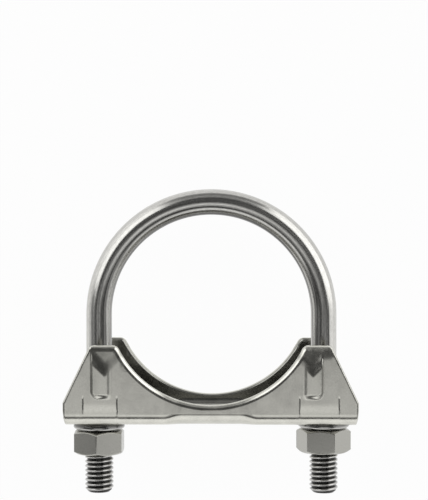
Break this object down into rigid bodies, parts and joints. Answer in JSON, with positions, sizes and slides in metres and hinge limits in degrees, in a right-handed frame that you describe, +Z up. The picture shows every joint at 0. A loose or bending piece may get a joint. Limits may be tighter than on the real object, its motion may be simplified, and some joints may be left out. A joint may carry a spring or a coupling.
{
  "type": "exhaust clamp",
  "caption": "U-bolt exhaust clamp in stainless steel: a bent rod with threaded legs, a pressed saddle that bears on the pipe, washers and hexagon nuts.",
  "frame": {"origin": "centre of the footprint on the floor, with the clamp lying on one cheek of its saddle", "axes": "+X from the left leg to the right one, +Y from the thread ends to the crown of the U-bolt, +Z up, along the pipe"},
  "size_m": [0.0784, 0.0828, 0.0305],
  "materials": {
    "rod": "drawn, glossy along the rod",
    "sheet": "rolled satin",
    "washer": "turned, glossy",
    "nut": "cold formed, fine satin"
  },
  "bodies": {
    "u_bolt": {"u_bolt": "rod"},
    "saddle": {"saddle": "sheet"},
    "left_washer": {"left_washer": "washer"},
    "left_nut": {"left_nut": "nut"},
    "right_washer": {"right_washer": "washer"},
    "right_nut": {"right_nut": "nut"}
  },
  "joints": [
    {"name": "saddle_slide", "type": "slide", "parent": "u_bolt", "child": "saddle", "axis": [0, 1, 0], "range_m": [0, 0.02]},
    {"name": "left_nut_travel", "type": "slide", "parent": "u_bolt", "child": "left_washer", "axis": [0, -1, 0], "range_m": [0, 0.01001]},
    {"name": "left_nut_turn", "type": "hinge", "parent": "left_washer", "child": "left_nut", "pos_m": [-0.03075, -0.0276, 0.01524], "axis": [0, -1, 0], "range_deg": [0, 2880]},
    {"name": "right_nut_travel", "type": "slide", "parent": "u_bolt", "child": "right_washer", "axis": [0, -1, 0], "range_m": [0, 0.01001]},
    {"name": "right_nut_turn", "type": "hinge", "parent": "right_washer", "child": "right_nut", "pos_m": [0.03075, -0.0271, 0.01524], "axis": [0, -1, 0], "range_deg": [0, 2880]}
  ],
  "couplings": [
    {"joint": "left_nut_travel", "follows": "left_nut_turn", "m_per_rad": 0.00019894},
    {"joint": "right_nut_travel", "follows": "right_nut_turn", "m_per_rad": 0.00019894}
  ]
}
